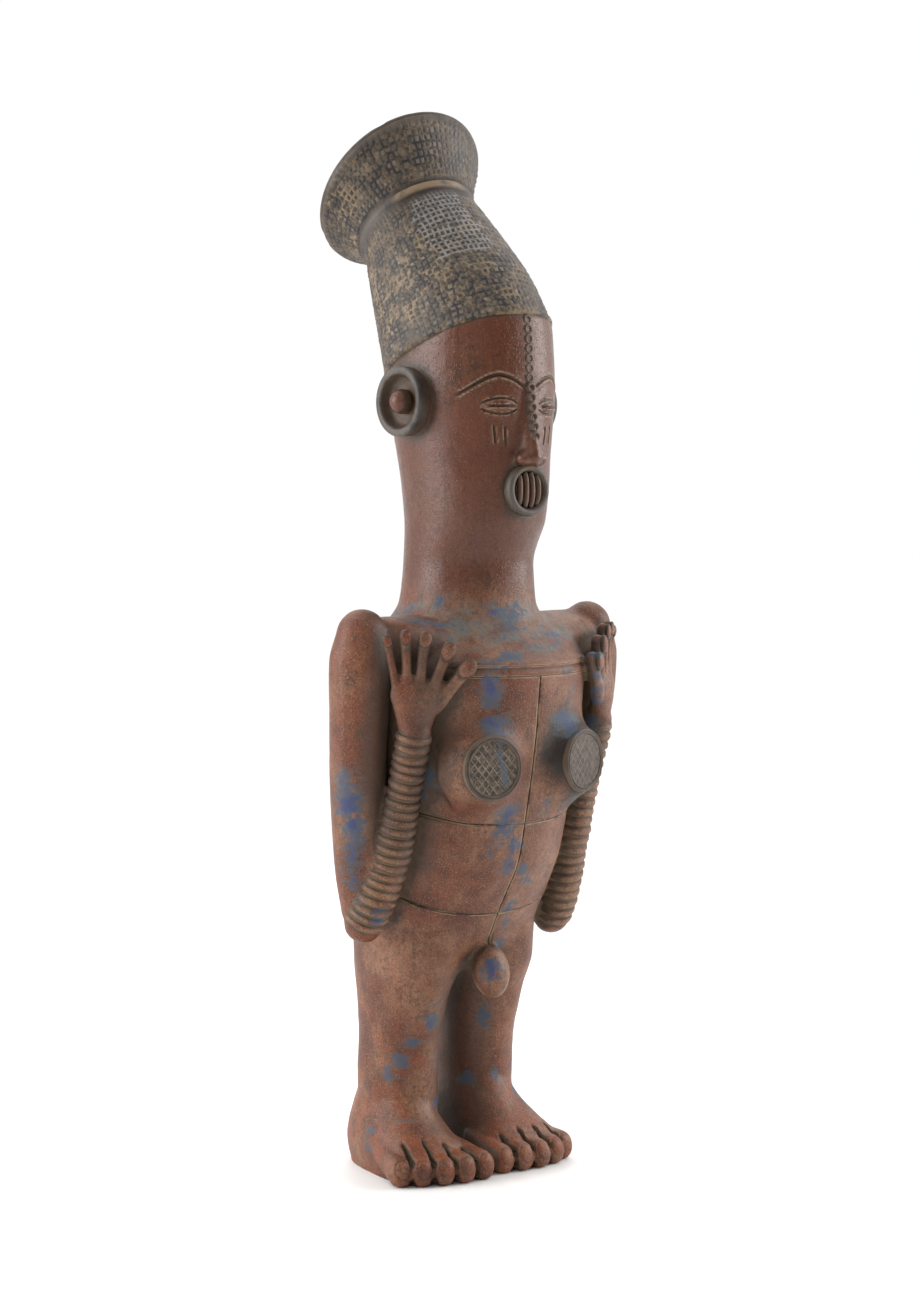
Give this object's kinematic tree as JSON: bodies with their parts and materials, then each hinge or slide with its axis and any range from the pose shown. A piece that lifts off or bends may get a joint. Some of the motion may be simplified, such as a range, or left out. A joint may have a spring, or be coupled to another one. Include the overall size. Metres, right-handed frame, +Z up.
{
  "type": "terracotta statuette",
  "caption": "Standing fired-clay figure with a flared, roulette-textured coiffure, hands raised to the shoulders, banded forearms, incised torso and broad bare feet.",
  "frame": {"origin": "middle of the bounding box, on the ground under the feet", "axes": "+Z up, from the feet to the coiffure; the figure faces -Y, and +X is its left side"},
  "size_m": [0.16, 0.1264, 0.4741],
  "materials": {
    "clay": "burnished red-brown fired clay, dull on the body and glossier on the head, with ochre dust in the recesses, a smoked dark coiffure and worn blue pigment"
  },
  "bodies": {
    "root": {"statuette": "clay"}
  },
  "joints": []
}
